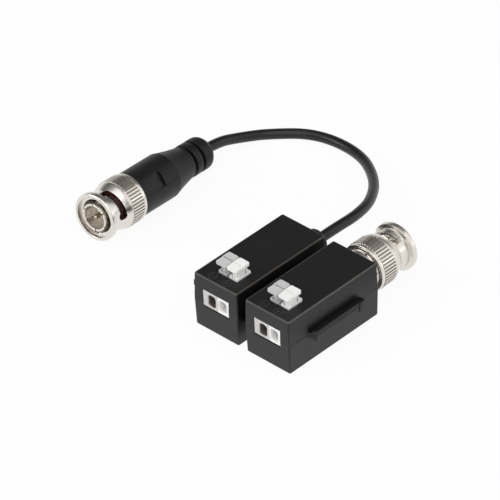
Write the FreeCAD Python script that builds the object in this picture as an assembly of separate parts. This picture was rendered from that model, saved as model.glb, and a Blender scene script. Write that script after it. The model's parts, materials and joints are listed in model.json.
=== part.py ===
"""A pair of passive video baluns keyed together side by side.

Each balun is a small two-shell housing with a two-pole push-lever terminal at its front.
The right one carries a bayonet plug on its back, the left one a short coaxial pigtail that
ends in a second bayonet plug with a moulded boot. A T-rail on the right wall of each
housing slides into a C-channel on the left wall of the next one.

Millimetres. X runs right across the pair, Y from the front (wire side) to the back, Z up.
The origin is at the bottom centre of the box round the pair, its pigtail left out.
"""
import FreeCAD, Part
import math
import os

V = FreeCAD.Vector

# Driving dimensions, in millimetres and degrees

# housing
housing_width = 15.7
housing_length = 34.3
housing_height = 16.8
seam_height = 8.85
bottom_inset = 0.2
top_inset = 0.22
corner_radius = 0.4
edge_radius = 0.35
wall = 1.4
roof = 1.3
floor_thickness = 1.3
module_gap = 2.6
tongue_height = 0.8
tongue_thickness = 0.55
seam_clearance = 0.1

# T-rail and C-channel
rail_reach = 2.0
rail_flange_thickness = 0.9
rail_flange_height = 3.0
rail_neck_height = 1.8
rail_front_y = 7.0
rail_back_y = 27.3
rail_end_slant = 1.4
rail_bump_length = 1.9
rail_bump = 0.2
channel_front_y = 2.6
channel_back_y = 27.6
channel_wall = 1.1
channel_hook = 0.75
slide_clearance = 0.15
channel_stop_length = 1.5

# terminal
window_width = 9.3
window_bottom_z = 7.4
window_top_z = 12.72
pole_split_x = 0.65
grey_x = -1.55
white_x = 2.3
pole_back_y = 11.2
nose_recess = 0.2
nose_bottom_gap = 0.3
fit_gap = 0.05
pole_shoulder_gap = 0.35
hole_width = 2.55
hole_height = 3.5
hole_corner = 0.8
hole_centre_z = 9.95
hole_chamfer = 0.2
cavity_front_y = 3.0
cavity_back_y = 10.4
cavity_width = 2.35
tower_width = 3.0
tower_front_y = 4.52
tower_back_y = 9.95
tower_proud = 0.3
tower_thickness = 2.5
tower_corner = 0.4
opening_clearance = 0.35

# lever
lever_pad_width = 3.58
lever_pad_front_y = 4.0
lever_pad_length = 5.25
lever_pad_thickness = 0.78
lever_pad_corner = 0.5
lever_rise = 3.45
lever_rear_step = 0.15
lever_slit_share = 0.5
lever_slit_width = 0.4
lever_slit_depth = 0.5
lever_neck_width = 1.9
lever_neck_length = 3.7
lever_neck_front_y = 5.05
lever_neck_corner = 0.9
lever_flare = 0.65
lever_flare_height = 1.25
lever_slot_clearance = 0.2
lever_foot_thickness = 0.9
lever_foot_overhang = 0.5
lever_travel = 1.8

# clamp spring and contact
spring_thickness = 0.3
spring_width = 2.1
spring_bend = 0.8
contact_thickness = 0.45
contact_width = 2.2
pin_width = 0.9
pin_length = 3.4

# board and what stands on it
board_thickness = 1.2
board_top_z = 5.5
board_front_y = 1.9
board_back_inset = 3.3
board_side_gap = 0.25
post_radius = 1.1
core_outer_radius = 4.3
core_inner_radius = 2.1
core_height = 3.4
core_centre_y = 19.5
wire_radius = 0.22
turns_per_side = 6
suppressor_size = V(4.2, 3.4, 2.2)
capacitor_size = V(3.2, 1.6, 1.4)
lead_thickness = 0.25

# bayonet plug, its coupling nut measured from the rim backwards
plug_axis_drop = 7.15
plug_reach = 16.6
rim_radius = 6.95
rim_length = 1.75
rim_step = 0.15
rim_front_round = 0.55
rim_bore_radius = 5.95
rim_bore_depth = 1.2
nut_bore_radius = 4.9
neck_radius = 5.75
# the flare between neck and knurl, as (radius, distance before the knurl) points
flare_points = ((5.75, 3.5), (5.95, 2.95), (6.5, 1.7), (6.95, 0.4))
lip_groove_width = 0.2
lip_groove_depth = 0.15
knurl_length = 4.4
rear_band_length = 1.15
knurl_radius = 7.1
knurl_depth = 0.35
knurl_count = 48
nut_length = 13.95
web_back_inset = 2.1
web_thickness = 1.0
web_bore_radius = 4.3
chamber_radius = 5.9
running_gap = 0.08
entry_groove_radius = 5.45
entry_slot_width = 1.7
entry_window_start = 2.7
cam_slot_width = 1.9
cam_slot_start = 3.65
cam_slot_travel = 0.75
cam_slot_sweep = 77.0
detent_radius = 1.25
detent_centre = 5.1
detent_angle = 83.0
right_slot_angle = 58.0
left_slot_angle = 271.0
ferrule_radius = 4.08
ferrule_bore_radius = 3.4
ferrule_slit_width = 0.35
ferrule_slit_length = 5.0
ferrule_slit_count = 6
ferrule_slit_angle = 22.0
gasket_thickness = 3.0
flange_thickness = 1.0
washer_thickness = 0.3
washer_wave = 0.12
washer_waves = 3
clip_thickness = 0.7
clip_radius = 5.0
clip_seat_radius = 3.7
barrel_radius = 4.22
insulator_front = 4.6
centre_pin_radius = 0.68
centre_pin_front = 0.2
seat_gap = 0.03

# black collar of the right plug
collar_radius = 5.9
collar_neck_radius = 4.9
collar_flange_radius = 5.8
collar_flange_thickness = 1.2
nut_collar_gap = 0.25

# pigtail plug and its boot
pigtail_rim_x = -61.35
pigtail_rim_y = 7.59
pigtail_yaw = -3.3
pigtail_pitch = 4.36
boot_nut_gap = 0.25
boot_grip_length = 13.9
boot_taper_length = 7.8
boot_length = 31.0
boot_radius = 6.62
boot_tail_radius = 4.8
boot_taper_hollow = 0.35
boot_grooves = (0.6, 3.9)
boot_groove_width = 1.0
boot_groove_depth = 1.3
boot_end_round = 2.2
grip_panel_length = 6.0
grip_panel_width = 5.1
grip_panel_depth = 0.35
crimp_radius = 3.1
crimp_inset = 5.3
crimp_length = 8.5

# cable and gland
cable_diameter = 3.0
gland_radius = 3.5
gland_length = 5.4
gland_neck_radius = 2.6
gland_flange_thickness = 1.2
gland_round = 0.8
cable_inner_length = 9.5
# points of the cable between the gland and the boot, from the middle of the gap, the
# housings' front and the floor; the runs at both ends leave along the gland and the boot
cable_points = [V(-9.3, 54.5, 8.3), V(-12.4, 63.9, 6.5), V(-20.6, 74.6, 3.9),
                V(-33.6, 83.0, 1.95), V(-49.5, 82.6, 1.55), V(-59.7, 73.5, 1.65),
                V(-63.2, 65.8, 2.85)]
gland_run = 6.8
boot_run = 6.0

# Sizes that follow from them
half_width = housing_width / 2
half_gap = module_gap / 2
module_pitch = housing_width + module_gap
channel_reach = module_gap - slide_clearance
cable_radius = cable_diameter / 2
window_left = -window_width / 2
tower_top_z = housing_height + tower_proud
ceiling_z = tower_top_z - tower_thickness
pad_top_z = housing_height + lever_rise
pad_bottom_z = pad_top_z - lever_pad_thickness
foot_top_z = ceiling_z - 2 * fit_gap
foot_bottom_z = foot_top_z - lever_foot_thickness
contact_z = board_top_z + seat_gap
board_back_y = housing_length - board_back_inset
plug_axis_z = housing_height - plug_axis_drop
plug_rim_y = housing_length + plug_reach
gland_axis_z = seam_height
knurl_end = nut_length - rear_band_length
knurl_start = knurl_end - knurl_length
boot_start = nut_length + boot_nut_gap
boot_shoulder = boot_start + boot_grip_length
boot_taper_end = boot_shoulder + boot_taper_length
boot_end = boot_start + boot_length
crimp_start = boot_start + crimp_inset
web_front = nut_length - web_back_inset - web_thickness
flange_back = web_front - washer_thickness - 2 * washer_wave - 2 * seat_gap

# the pigtail's plug touches the floor with its boot's shoulder, nearly level on its cable
pigtail_rim_z = (boot_radius * math.cos(math.radians(pigtail_pitch))
                 + boot_shoulder * math.sin(math.radians(pigtail_pitch)) + seat_gap)

# the pair stands with the middle of its box, rail and channel included, at the origin
pair_shift_x = (channel_reach - rail_reach) / 2
front_y = -plug_rim_y / 2


# Helpers

def lean(z):
    """How far the walls' drafted faces have drawn in at a height, from their seam outline."""
    if z < seam_height:
        return bottom_inset * (seam_height - z) / (seam_height - edge_radius)
    return top_inset * (z - seam_height) / (housing_height - edge_radius - seam_height)


def polygon_face(points):
    return Part.Face(Part.makePolygon(points + [points[0]]))


def box(x0, x1, y0, y1, z0, z1):
    return Part.makeBox(x1 - x0, y1 - y0, z1 - z0, V(x0, y0, z0))


def round_box(x0, x1, y0, y1, z0, z1, radius):
    """A box with its four upright edges rounded."""
    solid = box(x0, x1, y0, y1, z0, z1)
    upright = [e for e in solid.Edges if abs(e.tangentAt(e.FirstParameter).z) > 0.99]
    return solid.makeFillet(radius, upright)


def bar(y0, y1, centre, width, height, corner):
    """A bar along Y with a rounded rectangular section."""
    x, z = centre
    solid = box(x - width / 2, x + width / 2, y0, y1, z - height / 2, z + height / 2)
    along = [e for e in solid.Edges if abs(e.tangentAt(e.FirstParameter).y) > 0.99]
    return solid.makeFillet(corner, along)


def disc(x, z, radius, y0, y1):
    """A round bar along Y."""
    return Part.makeCylinder(radius, y1 - y0, V(x, y0, z), V(0, 1, 0))


def tube(outer, inner, z0, z1):
    """A tube along Z."""
    ring = Part.makeCylinder(outer, z1 - z0, V(0, 0, z0))
    return ring.cut(Part.makeCylinder(inner, z1 - z0, V(0, 0, z0)))


def turned(profile):
    """A profile of (radius, distance along Z) points turned about Z."""
    face = polygon_face([V(r, 0, z) for r, z in profile])
    return face.revolve(V(0, 0, 0), V(0, 0, 1), 360)


def rounded_outline(inset, z):
    """The housing's outline in plan, drawn in by an inset all round."""
    x, y0, y1 = half_width - inset, inset, housing_length - inset
    r = corner_radius
    k = r * (1 - math.sqrt(0.5))
    corners = [(x, y0, -1, 1), (x, y1, -1, -1), (-x, y1, 1, -1), (-x, y0, 1, 1)]
    edges, last = [], None
    for i, (cx, cy, sx, sy) in enumerate(corners):
        along_y, along_x = V(cx, cy + sy * r, z), V(cx + sx * r, cy, z)
        middle = V(cx + sx * k, cy + sy * k, z)
        first, end = (along_x, along_y) if i % 2 == 0 else (along_y, along_x)
        if last is not None:
            edges.append(Part.LineSegment(last, first).toShape())
        edges.append(Part.Arc(first, middle, end).toShape())
        last = end
    edges.append(Part.LineSegment(last, edges[0].Vertexes[0].Point).toShape())
    return Part.Wire(edges)


def outline_loft(sections):
    """A solid through housing outlines, each an (inset, height) pair."""
    return Part.makeLoft([rounded_outline(inset, z) for inset, z in sections], True, True)


def edge_sections(face_inset, face_z, sign):
    """Outlines that round an end edge over to a face at face_z; sign is the way outward."""
    steps = [math.radians(a) for a in (0, 45, 90)]
    return [(face_inset + edge_radius * (1 - math.cos(a)),
             face_z - sign * edge_radius * (1 - math.sin(a))) for a in steps]


# Housing

def port_hole(port):
    """The round hole in the back wall, for the collar or the gland."""
    return disc(0, port["z"], port["radius"] + seat_gap, housing_length - 2 * wall,
                housing_length + wall)


def terminal_window():
    return box(window_left, -window_left, -wall, 2 * wall, window_bottom_z, window_top_z)


def lever_opening():
    return round_box(grey_x - tower_width / 2 - opening_clearance,
                     white_x + tower_width / 2 + opening_clearance,
                     tower_front_y - opening_clearance, tower_back_y + opening_clearance,
                     housing_height - 2 * roof, housing_height + roof, tower_corner)


def rail_side_x():
    return half_width - corner_radius / 2


def t_rail():
    """T-section rail on the right wall, its ends slanted, with a stop bump at the back."""
    root, tip = rail_side_x(), half_width + rail_reach
    under = tip - rail_flange_thickness
    neck, flange = rail_neck_height / 2, rail_flange_height / 2
    half = [(root, neck), (under, neck), (under, flange), (tip, flange)]
    section = [V(x, 0, seam_height + z) for x, z in half]
    section += [V(x, 0, seam_height - z) for x, z in reversed(half)]
    bar_solid = polygon_face(section).extrude(V(0, housing_length, 0))
    bump = box(tip - rail_bump, tip + rail_bump, rail_back_y - rail_end_slant / 2
               - rail_bump_length, rail_back_y, seam_height - flange, seam_height + flange)
    slope = rail_end_slant / rail_reach
    far = tip + rail_bump - root
    ends = [V(root, rail_front_y + slope * (root - half_width), 0),
            V(root + far, rail_front_y + slope * (root + far - half_width), 0),
            V(root + far, rail_back_y - slope / 2 * (root + far - half_width), 0),
            V(root, rail_back_y - slope / 2 * (root - half_width), 0)]
    plan = polygon_face(ends).extrude(V(0, 0, housing_height))
    return bar_solid.fuse(bump).common(plan).removeSplitter()


def c_channel():
    """Two hooked lips on the left wall and a bar across their front end."""
    root, tip = -rail_side_x(), -half_width - channel_reach
    inside = rail_flange_height / 2 + slide_clearance
    mouth = rail_neck_height / 2 + slide_clearance
    outside = inside + channel_wall
    lips = []
    for side in (1, -1):
        web = [(root, inside), (tip + channel_hook, inside), (tip + channel_hook, mouth),
               (tip, mouth), (tip, outside), (root, outside)]
        section = [V(x, channel_front_y, seam_height + side * z) for x, z in web]
        lips.append(polygon_face(section).extrude(
            V(0, channel_back_y - channel_front_y, 0)))
    stop_end = rail_front_y - slide_clearance
    stop = box(tip, root, stop_end - channel_stop_length, stop_end,
               seam_height - outside, seam_height + outside)
    return lips[0].fuse([lips[1], stop]).removeSplitter()


def tongue(clearance, height):
    """The ring along the seam that locates the shells; the cut for it is a little larger."""
    outer = wall - tongue_thickness - clearance
    ring = outline_loft([(outer, seam_height - tongue_height), (outer, seam_height + height)])
    return ring.cut(outline_loft([(wall, seam_height - 2 * tongue_height),
                                  (wall, seam_height + 2 * height)]))


def cavity(z0, z1):
    """What a shell is hollowed by between two heights, one wall inside its leaning faces."""
    return outline_loft([(lean(z) + wall, z) for z in (z0, z1)])


def back_wall_inside(z, radius):
    """Where the back wall's inner face stands furthest in, over the height of a disc."""
    return housing_length - wall - max(lean(z - radius), lean(z + radius))


def halves():
    """Blocks that hold everything above and below the seam."""
    reach = housing_length
    above = box(-reach, reach, -reach, 2 * reach, seam_height, 2 * housing_height)
    below = box(-reach, reach, -reach, 2 * reach, -housing_height, seam_height)
    return above, below


def upper_shell(port):
    top = edge_sections(top_inset, housing_height, 1)
    shell = outline_loft([(0, seam_height)] + top)
    shell = shell.cut(cavity(seam_height, housing_height - roof))
    above, below = halves()
    shell = shell.fuse([t_rail().common(above), c_channel().common(above)])
    shell = shell.cut(tongue(seam_clearance, tongue_height + seam_clearance))
    for tool in (terminal_window(), lever_opening(), port_hole(port)):
        shell = shell.cut(tool)
    return shell.removeSplitter()


def lower_shell(port):
    bottom = edge_sections(bottom_inset, 0, -1)
    shell = outline_loft(bottom[::-1] + [(0, seam_height)])
    shell = shell.cut(cavity(floor_thickness, seam_height))
    above, below = halves()
    shell = shell.fuse([t_rail().common(below), c_channel().common(below)])
    shell = shell.fuse(tongue(0, tongue_height))
    posts = [Part.makeCylinder(post_radius, board_underside() - floor_thickness + wall / 2,
                               V(x, y, floor_thickness - wall / 2))
             for x, y in post_places()]
    shell = shell.fuse(posts)
    for tool in (terminal_window(), port_hole(port)):
        shell = shell.cut(tool)
    return shell.removeSplitter()


# Board

def board_underside():
    return board_top_z - board_thickness


def board_half_width():
    return half_width - wall - lean(board_underside()) - board_side_gap


def post_places():
    x = board_half_width() - 1.5 * post_radius
    ends = (board_front_y + 1.5 * post_radius, board_back_y - 1.5 * post_radius)
    return [(side * x, y) for side in (-1, 1) for y in ends]


def circuit_board():
    x = board_half_width()
    board = round_box(-x, x, board_front_y, board_back_y, board_underside(), board_top_z,
                      corner_radius)
    holes = [Part.makeCylinder(pin_width * 0.75, 2 * board_thickness,
                               V(cx, contact_pin_y(), board_underside() - seat_gap))
             for cx in (grey_x, white_x)]
    return board.cut(Part.makeCompound(holes))


def balun_core():
    core = tube(core_outer_radius, core_inner_radius, 0, core_height)
    core.translate(V(0, core_centre_y, board_top_z + 2 * wire_radius + 2 * seat_gap))
    return core


def balun_winding():
    """Turns of wire round the core, two groups facing each other."""
    mid = (core_outer_radius + core_inner_radius) / 2
    inner_x = (core_outer_radius - core_inner_radius) / 2 + seat_gap
    inner_z = core_height / 2 + seat_gap
    outer_x, outer_z = inner_x + 2 * wire_radius, inner_z + 2 * wire_radius
    turn = box(-outer_x, outer_x, -wire_radius, wire_radius, -outer_z, outer_z)
    turn = turn.cut(box(-inner_x, inner_x, -1, 1, -inner_z, inner_z))
    turn.translate(V(mid, core_centre_y, board_top_z + 2 * wire_radius + 2 * seat_gap
                     + core_height / 2))
    pitch = math.degrees(3.2 * wire_radius / (core_inner_radius - wire_radius))
    turns = []
    for group in (0, 180):
        for i in range(turns_per_side):
            one = turn.copy()
            one.rotate(V(0, core_centre_y, 0), V(0, 0, 1),
                       group + (i - (turns_per_side - 1) / 2) * pitch)
            turns.append(one)
    return Part.makeCompound(turns)


def leaded_block(size, x, y):
    """A chip body with a folded metal lead at each end of its longer side."""
    z = board_top_z + seat_gap
    half = size.x / 2
    body = round_box(x - half + lead_thickness, x + half - lead_thickness, y - size.y / 2,
                     y + size.y / 2, z, z + size.z, lead_thickness)
    leads = [box(x + s * (half - lead_thickness / 2) - lead_thickness / 2,
                 x + s * (half - lead_thickness / 2) + lead_thickness / 2,
                 y - size.y / 4, y + size.y / 4, z, z + size.z / 2) for s in (-1, 1)]
    return body.fuse(leads)


# Terminal

def pole(x, left, right):
    """One pole of the terminal between two sides, its wire hole and lever at x."""
    shoulder_z = housing_height - roof - pole_shoulder_gap
    front = wall + max(lean(shoulder_z), lean(board_top_z)) + fit_gap
    body = box(left, right, front, pole_back_y, board_top_z + seat_gap, shoulder_z)
    nose = box(left, right, nose_recess, front + fit_gap, window_bottom_z
               + nose_bottom_gap, window_top_z - fit_gap)
    tower = round_box(x - tower_width / 2, x + tower_width / 2, tower_front_y, tower_back_y,
                      shoulder_z - roof, tower_top_z, tower_corner)
    solid = body.fuse([nose, tower]).removeSplitter()
    inner = cavity_width / 2
    solid = solid.cut(box(x - inner, x + inner, cavity_front_y, cavity_back_y,
                          board_top_z, ceiling_z))
    return solid.cut(wire_hole(x)).cut(lever_slot(x)).removeSplitter()


def wire_hole(x):
    centre = (x, hole_centre_z)
    hole = bar(-nose_recess, cavity_front_y + wall, centre, hole_width, hole_height,
               hole_corner)
    mouth = bar(-nose_recess, nose_recess + hole_chamfer, centre,
                hole_width + 2 * hole_chamfer, hole_height + 2 * hole_chamfer,
                hole_corner + hole_chamfer)
    return hole.fuse(mouth)


def lever_slot(x):
    half = lever_neck_width / 2 + lever_slot_clearance
    back = lever_neck_front_y + lever_neck_length + 2 * lever_slot_clearance
    return round_box(x - half, x + half, lever_neck_front_y - lever_slot_clearance, back,
                     ceiling_z - wall, tower_top_z + wall,
                     lever_neck_corner + lever_slot_clearance)


def neck_outline(x, grow, z):
    """The neck's rounded outline at a height, grown all round."""
    half_x = lever_neck_width / 2 + grow
    y0 = lever_neck_front_y - grow
    y1 = lever_neck_front_y + lever_neck_length + grow
    block = round_box(x - half_x, x + half_x, y0, y1, z, z + 1, lever_neck_corner)
    bottom = [f for f in block.Faces if f.normalAt(0, 0).z < -0.99]
    return bottom[0].OuterWire


def lever(x):
    """Push lever: a split pad on a flared neck, with a foot that holds it in its pole."""
    x0, x1 = x - lever_pad_width / 2, x + lever_pad_width / 2
    y0, y1 = lever_pad_front_y, lever_pad_front_y + lever_pad_length
    slit_y = y0 + lever_slit_share * lever_pad_length
    pad = round_box(x0, x1, y0, y1, pad_bottom_z, pad_top_z + lever_rear_step,
                    lever_pad_corner)
    front = box(x0, x1, y0, slit_y, pad_top_z, pad_top_z + 2 * lever_rear_step)
    slit = box(x0 + lever_slit_width, x1 + lever_slit_width, slit_y,
               slit_y + lever_slit_width, pad_top_z - lever_slit_depth,
               pad_top_z + 2 * lever_rear_step)
    pad = pad.cut(front.fuse(slit))
    flare_z = pad_bottom_z - lever_flare_height
    steps = [math.radians(a) for a in (0, 45, 90)]
    flare = Part.makeLoft([neck_outline(x, lever_flare * (1 - math.cos(a)),
                                        flare_z + lever_flare_height * math.sin(a))
                           for a in steps], True, True)
    neck = round_box(x - lever_neck_width / 2, x + lever_neck_width / 2, lever_neck_front_y,
                     lever_neck_front_y + lever_neck_length, foot_bottom_z, flare_z,
                     lever_neck_corner)
    foot_half = cavity_width / 2 - 2 * fit_gap
    foot = box(x - foot_half, x + foot_half, lever_neck_front_y - lever_foot_overhang,
               lever_neck_front_y + lever_neck_length + lever_foot_overhang,
               foot_bottom_z, foot_top_z)
    return pad.fuse([flare, neck, foot]).removeSplitter()


def spring_line():
    """The clamp spring's middle line in Y and Z, from its base round to the clamping edge."""
    base_z = contact_z + contact_thickness + seat_gap + spring_thickness / 2
    top_z = foot_bottom_z - seat_gap - spring_thickness / 2
    back = cavity_back_y - spring_thickness
    front = lever_neck_front_y
    return [(front, base_z), (back, base_z), (back, top_z), (front - spring_thickness, top_z),
            (front + lever_neck_length / 2, hole_centre_z - hole_height / 3)]


def clamp_spring(x):
    """A flat strip bent round four corners, wide across X."""
    line = [V(x - spring_width / 2, y, z) for y, z in spring_line()]
    edges, start = [], line[0]
    for before, corner, after in zip(line, line[1:], line[2:]):
        into, out = (corner - before).normalize(), (after - corner).normalize()
        turn = into.getAngle(out)
        cut = spring_bend * math.tan(turn / 2)
        a, b = corner - into * cut, corner + out * cut
        inward = (out - into).normalize()
        middle = corner + inward * (spring_bend / math.cos(turn / 2) - spring_bend)
        edges += [Part.LineSegment(start, a).toShape(), Part.Arc(a, middle, b).toShape()]
        start = b
    edges.append(Part.LineSegment(start, line[-1]).toShape())
    path = Part.Wire(edges)
    across = V(spring_width, 0, 0)
    along = (line[1] - line[0]).normalize()
    side = along.cross(V(1, 0, 0)).normalize() * (spring_thickness / 2)
    strip = polygon_face([line[0] - side, line[0] + side, line[0] + side + across,
                          line[0] - side + across])
    return path.makePipeShell([strip.OuterWire], True, False, 1)


def contact_pin_y():
    return (lever_neck_front_y + cavity_front_y) / 2


def contact(x):
    """The pole's tinned contact: a plate under the wire and a pin down through the board."""
    half = contact_width / 2
    plate = box(x - half, x + half, cavity_front_y + fit_gap, cavity_back_y - fit_gap,
                contact_z, contact_z + contact_thickness)
    pin = box(x - pin_width / 2, x + pin_width / 2, contact_pin_y() - pin_width / 2,
              contact_pin_y() + pin_width / 2, contact_z + contact_thickness - pin_length,
              contact_z + contact_thickness / 2)
    return plate.fuse(pin).removeSplitter()


# Bayonet plug, built along Z from its rim backwards

def nut_profile():
    """Half-section of the coupling nut from the rim's bore round to the chamber's mouth."""
    flare = [(radius, knurl_start - before) for radius, before in flare_points]
    lip_radius, lip_start = flare[-1]
    groove_radius, groove_end = lip_radius - lip_groove_depth, lip_start + lip_groove_width
    root = knurl_radius - knurl_depth
    steps = [math.radians(a) for a in (0, 30, 60, 90)]
    profile = [(rim_bore_radius, 0)]
    profile += [(rim_radius - rim_front_round * (1 - math.sin(a)),
                 rim_front_round * (1 - math.cos(a))) for a in steps]
    profile += [(rim_radius, rim_length), (neck_radius, rim_length + rim_step)]
    profile += flare
    profile += [(groove_radius, lip_start), (groove_radius, groove_end),
                (lip_radius, groove_end), (lip_radius, knurl_start), (root, knurl_start),
                (root, knurl_end), (lip_radius, knurl_end), (lip_radius, nut_length)]
    web_back = nut_length - web_back_inset
    profile += [(chamber_radius, nut_length), (chamber_radius, web_back),
                (web_bore_radius, web_back), (web_bore_radius, web_front),
                (nut_bore_radius, web_front), (nut_bore_radius, rim_bore_depth),
                (rim_bore_radius, rim_bore_depth)]
    return profile


def knurl_band():
    """Straight ridges round the nut, each a flat-topped tooth."""
    root = knurl_radius - knurl_depth
    step = 2 * math.pi / knurl_count
    points = []
    for i in range(knurl_count):
        for share, radius in ((0.0, root), (0.3, knurl_radius), (0.7, knurl_radius)):
            a = (i + share) * step
            points.append(V(radius * math.cos(a), radius * math.sin(a), knurl_start))
    band = polygon_face(points).extrude(V(0, 0, knurl_end - knurl_start))
    hollow = Part.makeCylinder((root + chamber_radius) / 2, knurl_end - knurl_start,
                               V(0, 0, knurl_start))
    return band.cut(hollow)


def cam_slot(angle):
    """Cutters of one bayonet slot: groove from the mouth, window, ramp and round detent."""
    inner, outer = nut_bore_radius - 1.0, knurl_radius
    half = cam_slot_width / 2
    centre = cam_slot_start + half
    side = entry_slot_width / 2
    groove = box(inner, entry_groove_radius, -side, side, -1, centre)
    window = box(inner, outer, -side, side, entry_window_start, centre)
    start = Part.makeCylinder(half, outer - inner, V(inner, 0, centre), V(1, 0, 0))
    helix = Part.makeHelix(cam_slot_travel * 360 / cam_slot_sweep, cam_slot_travel,
                           (outer + inner) / 2)
    helix.translate(V(0, 0, centre))
    section = Part.makePolygon([V(inner, 0, centre - half), V(outer, 0, centre - half),
                                V(outer, 0, centre + half), V(inner, 0, centre + half),
                                V(inner, 0, centre - half)])
    ramp = Part.Wire(helix).makePipeShell([section], True, True)
    detent = Part.makeCylinder(detent_radius, outer - inner, V(inner, 0, detent_centre),
                               V(1, 0, 0))
    detent.rotate(V(0, 0, 0), V(0, 0, 1), detent_angle)
    cutters = [groove, window, start, ramp, detent]
    for cutter in cutters:
        cutter.rotate(V(0, 0, 0), V(0, 0, 1), angle)
    return cutters


def coupling_nut(slot_angle):
    body = turned(nut_profile()).fuse(knurl_band())
    for angle in (slot_angle, slot_angle + 180):
        for cutter in cam_slot(angle):
            body = body.cut(cutter)
    return body.removeSplitter()


def plug_body(tail):
    """Turned plug body: slotted ferrule, flange, and a barrel with the clip's groove."""
    front = flange_back - flange_thickness
    clip = nut_length - web_back_inset + running_gap
    flange = nut_bore_radius - running_gap
    barrel = web_bore_radius - running_gap
    body = turned([(ferrule_bore_radius, 0), (ferrule_radius, 0), (ferrule_radius, front),
                   (flange, front), (flange, flange_back), (barrel, flange_back),
                   (barrel, clip), (clip_seat_radius, clip),
                   (clip_seat_radius, clip + clip_thickness + seat_gap),
                   (barrel, clip + clip_thickness + seat_gap), (barrel, tail),
                   (centre_pin_radius + wall, tail), (centre_pin_radius + wall, flange_back),
                   (ferrule_bore_radius, flange_back)])
    slit = box(0, 2 * ferrule_radius, -ferrule_slit_width / 2, ferrule_slit_width / 2,
               -1, ferrule_slit_length)
    for i in range(ferrule_slit_count):
        one = slit.copy()
        one.rotate(V(0, 0, 0), V(0, 0, 1), ferrule_slit_angle + i * 360 / ferrule_slit_count)
        body = body.cut(one)
    return body


def insulator(tail):
    """White dielectric sleeve that centres the pin in the ferrule."""
    back = flange_back - seat_gap
    front = turned([(centre_pin_radius + seat_gap, insulator_front),
                    (ferrule_bore_radius - seat_gap, insulator_front),
                    (ferrule_bore_radius - seat_gap, back),
                    (centre_pin_radius + wall - seat_gap, back),
                    (centre_pin_radius + wall - seat_gap, tail),
                    (centre_pin_radius + seat_gap, tail)])
    return front


def centre_pin(end):
    r = centre_pin_radius
    return turned([(0, centre_pin_front), (r / 2, centre_pin_front), (r, centre_pin_front + r),
                   (r, end), (0, end)])


def gasket():
    """Red-brown sealing ring against the flange, round the foot of the ferrule."""
    back = flange_back - flange_thickness - seat_gap
    return tube(nut_bore_radius - running_gap, ferrule_radius + seat_gap,
                back - gasket_thickness, back)


def wave_washer():
    """A washer whose ring rises and falls, between the flange and the nut's web."""
    inner, outer = barrel_radius + 2 * seat_gap, nut_bore_radius - 2 * running_gap
    middle = web_front - seat_gap - washer_wave - washer_thickness / 2
    steps = 8 * washer_waves
    rings = []
    for i in range(steps):
        a = 2 * math.pi * i / steps
        z = middle + washer_wave * math.sin(washer_waves * a)
        corners = [(inner, z - washer_thickness / 2), (outer, z - washer_thickness / 2),
                   (outer, z + washer_thickness / 2), (inner, z + washer_thickness / 2)]
        loop = [V(r * math.cos(a), r * math.sin(a), h) for r, h in corners]
        rings.append(Part.makePolygon(loop + [loop[0]]))
    return Part.makeLoft(rings, True, False, True)


def retaining_clip():
    """An open ring in the barrel's groove, behind the nut's web."""
    z = nut_length - web_back_inset + running_gap + seat_gap / 2
    ring = tube(clip_radius, clip_seat_radius + seat_gap, z, z + clip_thickness)
    return ring.cut(box(0, 2 * clip_radius, -1, 1, z - 1, z + 2 * clip_thickness))


def plug_pieces(side, slot_angle, tail, pin_end):
    """Every piece of one bayonet plug, along Z; tail is how far back its body reaches."""
    return {
        side + "_coupling_nut": coupling_nut(slot_angle),
        side + "_plug_body": plug_body(tail),
        side + "_insulator": insulator(tail),
        side + "_centre_pin": centre_pin(pin_end),
        side + "_gasket": gasket(),
        side + "_wave_washer": wave_washer(),
        side + "_retaining_clip": retaining_clip(),
    }


# Collar, boot, gland and cable

def rear_collar():
    """Black bushing that carries the right plug in the housing's back wall, along Y."""
    z = plug_axis_z
    outside = plug_rim_y - nut_length - nut_collar_gap
    neck_start = back_wall_inside(z, collar_flange_radius)
    parts = [disc(0, z, collar_radius, housing_length + seat_gap, outside),
             disc(0, z, collar_neck_radius, neck_start - seat_gap, housing_length + wall),
             disc(0, z, collar_flange_radius, neck_start - collar_flange_thickness
                  - seat_gap, neck_start - seat_gap)]
    collar = parts[0].fuse(parts[1:]).removeSplitter()
    collar = collar.cut(disc(0, z, barrel_radius + seat_gap, 0, plug_rim_y))
    return collar


def boot():
    """Moulded boot: a straight grip, a hollow taper and a tail with two deep rings."""
    drop = boot_radius - boot_tail_radius
    length = boot_taper_end - boot_shoulder
    taper = []
    for share in (0.33, 0.67):
        hollow = 4 * boot_taper_hollow * share * (1 - share)
        taper.append((boot_radius - drop * share - hollow, boot_shoulder + length * share))
    bore = barrel_radius + seat_gap
    profile = [(bore, boot_start), (boot_radius, boot_start), (boot_radius, boot_shoulder)]
    profile += taper + [(boot_tail_radius, boot_taper_end)]
    for start in [boot_taper_end + after for after in boot_grooves]:
        floor_radius = boot_tail_radius - boot_groove_depth
        profile += [(boot_tail_radius, start), (floor_radius, start),
                    (floor_radius, start + boot_groove_width),
                    (boot_tail_radius, start + boot_groove_width)]
    steps = [math.radians(a) for a in (0, 30, 60, 90)]
    profile += [(boot_tail_radius - boot_end_round * (1 - math.cos(a)),
                 boot_end - boot_end_round * (1 - math.sin(a))) for a in steps]
    crimp_back = crimp_start + crimp_length
    profile += [(cable_radius + seat_gap, boot_end), (cable_radius + seat_gap, crimp_back),
                (crimp_radius + seat_gap, crimp_back), (crimp_radius + seat_gap, crimp_start),
                (bore, crimp_start)]
    body = turned(profile)
    for side in (-1, 1):
        body = body.cut(grip_panel(side))
    return body


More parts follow.
